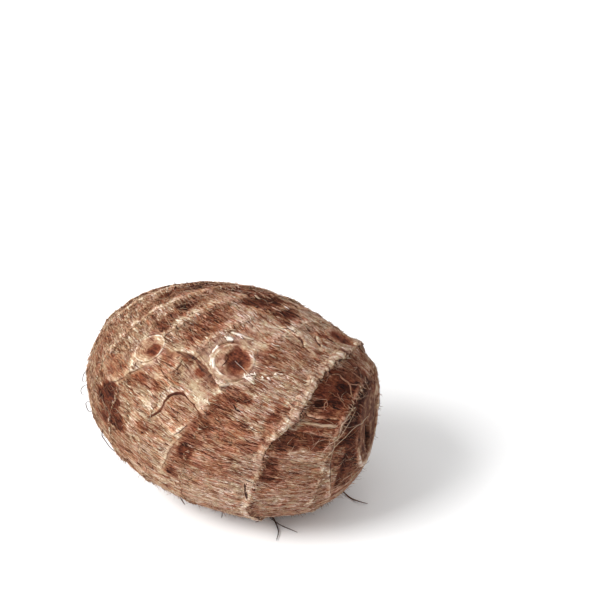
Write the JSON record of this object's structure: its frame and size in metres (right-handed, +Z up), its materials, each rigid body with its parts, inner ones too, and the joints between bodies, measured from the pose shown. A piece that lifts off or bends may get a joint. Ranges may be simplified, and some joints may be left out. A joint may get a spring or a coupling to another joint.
{
  "type": "taro root",
  "caption": "Small whole taro corm with ringed, fibrous brown skin, lying on its side on a small flat under it.",
  "frame": {"origin": "on the floor under the middle of the corm's bounding box", "axes": "+Z up; +X along the corm's greatest extent, towards the tip; +Y towards the inner side of its bend"},
  "size_m": [0.0804, 0.0548, 0.0639],
  "materials": {
    "corm_skin": "dull, dry, fibrous brown skin with pale tan rings, dark cracks and a few glossy pale scars"
  },
  "bodies": {
    "root": {"corm": "corm_skin"}
  },
  "joints": []
}
